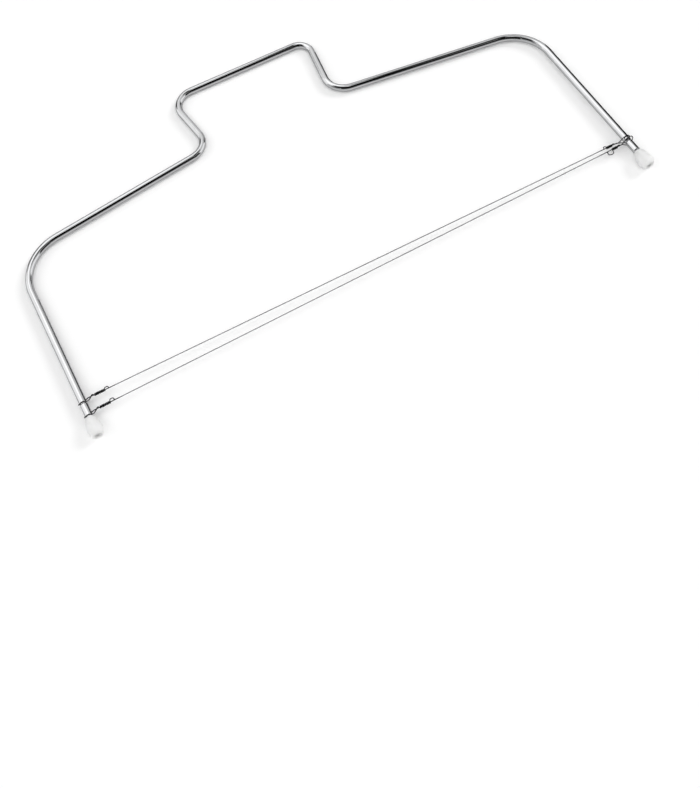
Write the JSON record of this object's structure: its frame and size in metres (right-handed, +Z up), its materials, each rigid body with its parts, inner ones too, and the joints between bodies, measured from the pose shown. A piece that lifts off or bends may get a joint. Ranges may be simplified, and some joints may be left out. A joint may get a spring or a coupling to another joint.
{
  "type": "cake leveler",
  "caption": "Bent round-rod frame with a raised handle, push-on feet and two taut cutting wires looped round its legs, for slicing cake layers level.",
  "frame": {"origin": "middle of the underside, on the surface that the leveler lies on", "axes": "+X from the left leg to the right one, +Y from the feet to the handle, +Z up from the surface"},
  "size_m": [0.328, 0.1808, 0.008],
  "materials": {
    "polished_steel": "bright drawn and polished round rod",
    "steel_wire": "drawn thin steel wire",
    "white_plastic": "moulded, soft sheen, slightly see-through"
  },
  "bodies": {
    "frame": {"frame_rod": "polished_steel", "left_foot": "white_plastic", "right_foot": "white_plastic", "upper_wire": "steel_wire", "upper_wire_left_end": "steel_wire", "upper_wire_right_end": "steel_wire"},
    "lower_wire": {"lower_wire": "steel_wire", "lower_wire_left_end": "steel_wire", "lower_wire_right_end": "steel_wire"}
  },
  "joints": [
    {"name": "lower_wire_shift", "type": "hinge", "parent": "frame", "child": "lower_wire", "pos_m": [-0.16, -0.07768, 0.0039], "axis": [0, 0.0114, 0.9999], "range_deg": [-1.43, 0]}
  ]
}
